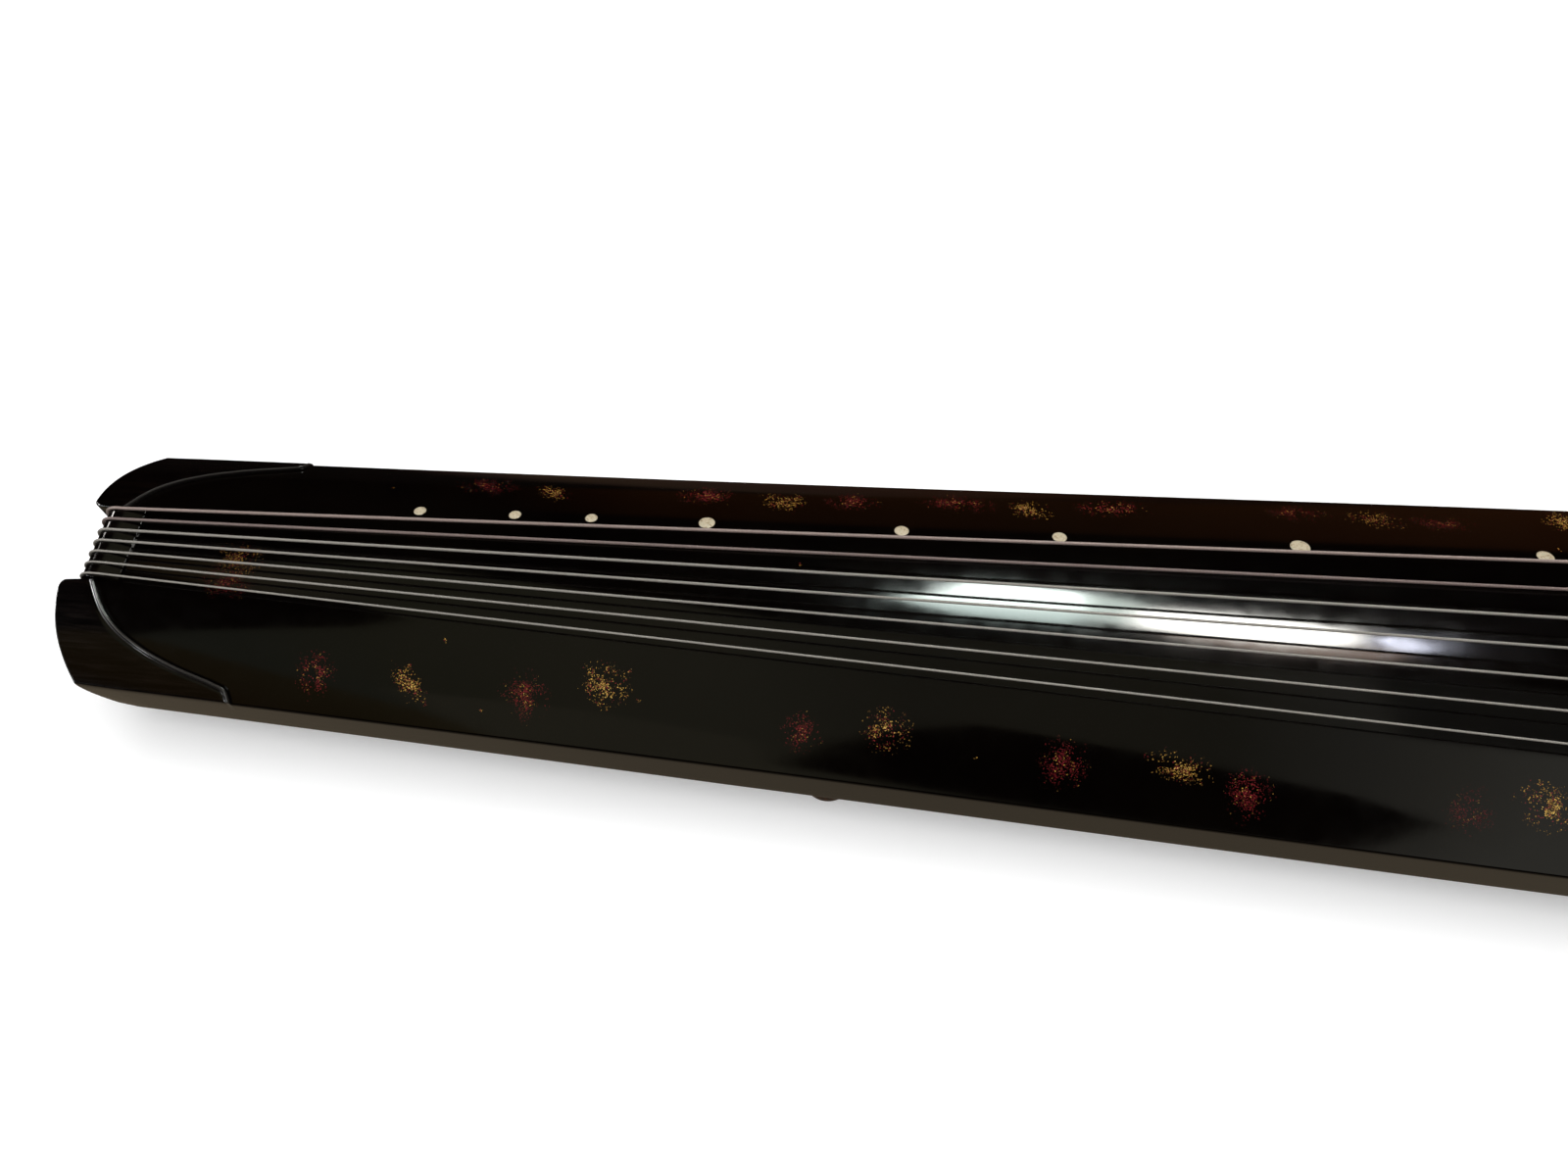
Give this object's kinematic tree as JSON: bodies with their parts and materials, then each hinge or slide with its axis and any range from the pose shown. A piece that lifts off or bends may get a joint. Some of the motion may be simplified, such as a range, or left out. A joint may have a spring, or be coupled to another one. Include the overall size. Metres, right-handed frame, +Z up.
{
  "type": "guqin",
  "caption": "Long board zither: hollow arched lacquered body on feet, strings from a bridge over a tail nut to the feet, shell studs, and turning pegs under the head.",
  "frame": {"origin": "centre of the outer box, on the floor that the feet stand on", "axes": "+X along the body towards the head, +Y towards the side with the shell studs, +Z up"},
  "size_m": [1.2328, 0.197, 0.0887],
  "materials": {
    "black_lacquer": "black high-gloss lacquer on wood, with red and gold flecks",
    "lacquered_hardwood": "dark hardwood under black gloss lacquer",
    "dark_hardwood": "polished dark rosewood",
    "bare_softwood": "bare planed wood",
    "mother_of_pearl": "polished mother-of-pearl",
    "copper_toned_string": "nylon-wound steel string with a pinkish-brown tone",
    "pale_string": "nylon-wound steel string, pale grey",
    "twisted_silk": "twisted silk cord"
  },
  "bodies": {
    "guqin_body": {"soundboard": "black_lacquer", "bottom_board": "black_lacquer", "crown_corner_near": "lacquered_hardwood", "crown_corner_far": "lacquered_hardwood", "tail_nut": "lacquered_hardwood", "tail_sill": "lacquered_hardwood", "bridge": "dark_hardwood", "bridge_apron": "dark_hardwood", "peg_pond_plate": "dark_hardwood", "dragon_pond_rim": "dark_hardwood", "phoenix_pool_rim": "dark_hardwood", "goose_foot_near": "dark_hardwood", "goose_foot_far": "dark_hardwood", "peg_guard_near": "dark_hardwood", "peg_guard_far": "dark_hardwood", "sound_post_round": "bare_softwood", "sound_post_square": "bare_softwood", "hui_dot_1": "mother_of_pearl", "hui_dot_2": "mother_of_pearl", "hui_dot_3": "mother_of_pearl", "hui_dot_4": "mother_of_pearl", "hui_dot_5": "mother_of_pearl", "hui_dot_6": "mother_of_pearl", "hui_dot_7": "mother_of_pearl", "hui_dot_8": "mother_of_pearl", "hui_dot_9": "mother_of_pearl", "hui_dot_10": "mother_of_pearl", "hui_dot_11": "mother_of_pearl", "hui_dot_12": "mother_of_pearl", "hui_dot_13": "mother_of_pearl", "string_1": "copper_toned_string", "string_2": "copper_toned_string", "string_3": "pale_string", "string_4": "pale_string", "string_5": "pale_string", "string_6": "pale_string", "string_7": "pale_string", "silk_loop_1": "twisted_silk", "silk_loop_2": "twisted_silk", "silk_loop_3": "twisted_silk", "silk_loop_4": "twisted_silk", "silk_loop_5": "twisted_silk", "silk_loop_6": "twisted_silk", "silk_loop_7": "twisted_silk"},
    "peg_1": {"tuning_peg_1": "dark_hardwood", "peg_cord_1": "twisted_silk"},
    "peg_2": {"tuning_peg_2": "dark_hardwood", "peg_cord_2": "twisted_silk"},
    "peg_3": {"tuning_peg_3": "dark_hardwood", "peg_cord_3": "twisted_silk"},
    "peg_4": {"tuning_peg_4": "dark_hardwood", "peg_cord_4": "twisted_silk"},
    "peg_5": {"tuning_peg_5": "dark_hardwood", "peg_cord_5": "twisted_silk"},
    "peg_6": {"tuning_peg_6": "dark_hardwood", "peg_cord_6": "twisted_silk"},
    "peg_7": {"tuning_peg_7": "dark_hardwood", "peg_cord_7": "twisted_silk"}
  },
  "joints": [
    {"name": "peg_turn_1", "type": "hinge", "parent": "guqin_body", "child": "peg_1", "pos_m": [0.5468, 0.063, 0.0394], "axis": [0, 0, 1], "continuous": true},
    {"name": "peg_turn_2", "type": "hinge", "parent": "guqin_body", "child": "peg_2", "pos_m": [0.5468, 0.042, 0.0394], "axis": [0, 0, 1], "continuous": true},
    {"name": "peg_turn_3", "type": "hinge", "parent": "guqin_body", "child": "peg_3", "pos_m": [0.5468, 0.021, 0.0394], "axis": [0, 0, 1], "continuous": true},
    {"name": "peg_turn_4", "type": "hinge", "parent": "guqin_body", "child": "peg_4", "pos_m": [0.5468, 0, 0.0394], "axis": [0, 0, 1], "continuous": true},
    {"name": "peg_turn_5", "type": "hinge", "parent": "guqin_body", "child": "peg_5", "pos_m": [0.5468, -0.021, 0.0394], "axis": [0, 0, 1], "continuous": true},
    {"name": "peg_turn_6", "type": "hinge", "parent": "guqin_body", "child": "peg_6", "pos_m": [0.5468, -0.042, 0.0394], "axis": [0, 0, 1], "continuous": true},
    {"name": "peg_turn_7", "type": "hinge", "parent": "guqin_body", "child": "peg_7", "pos_m": [0.5468, -0.063, 0.0394], "axis": [0, 0, 1], "continuous": true}
  ]
}
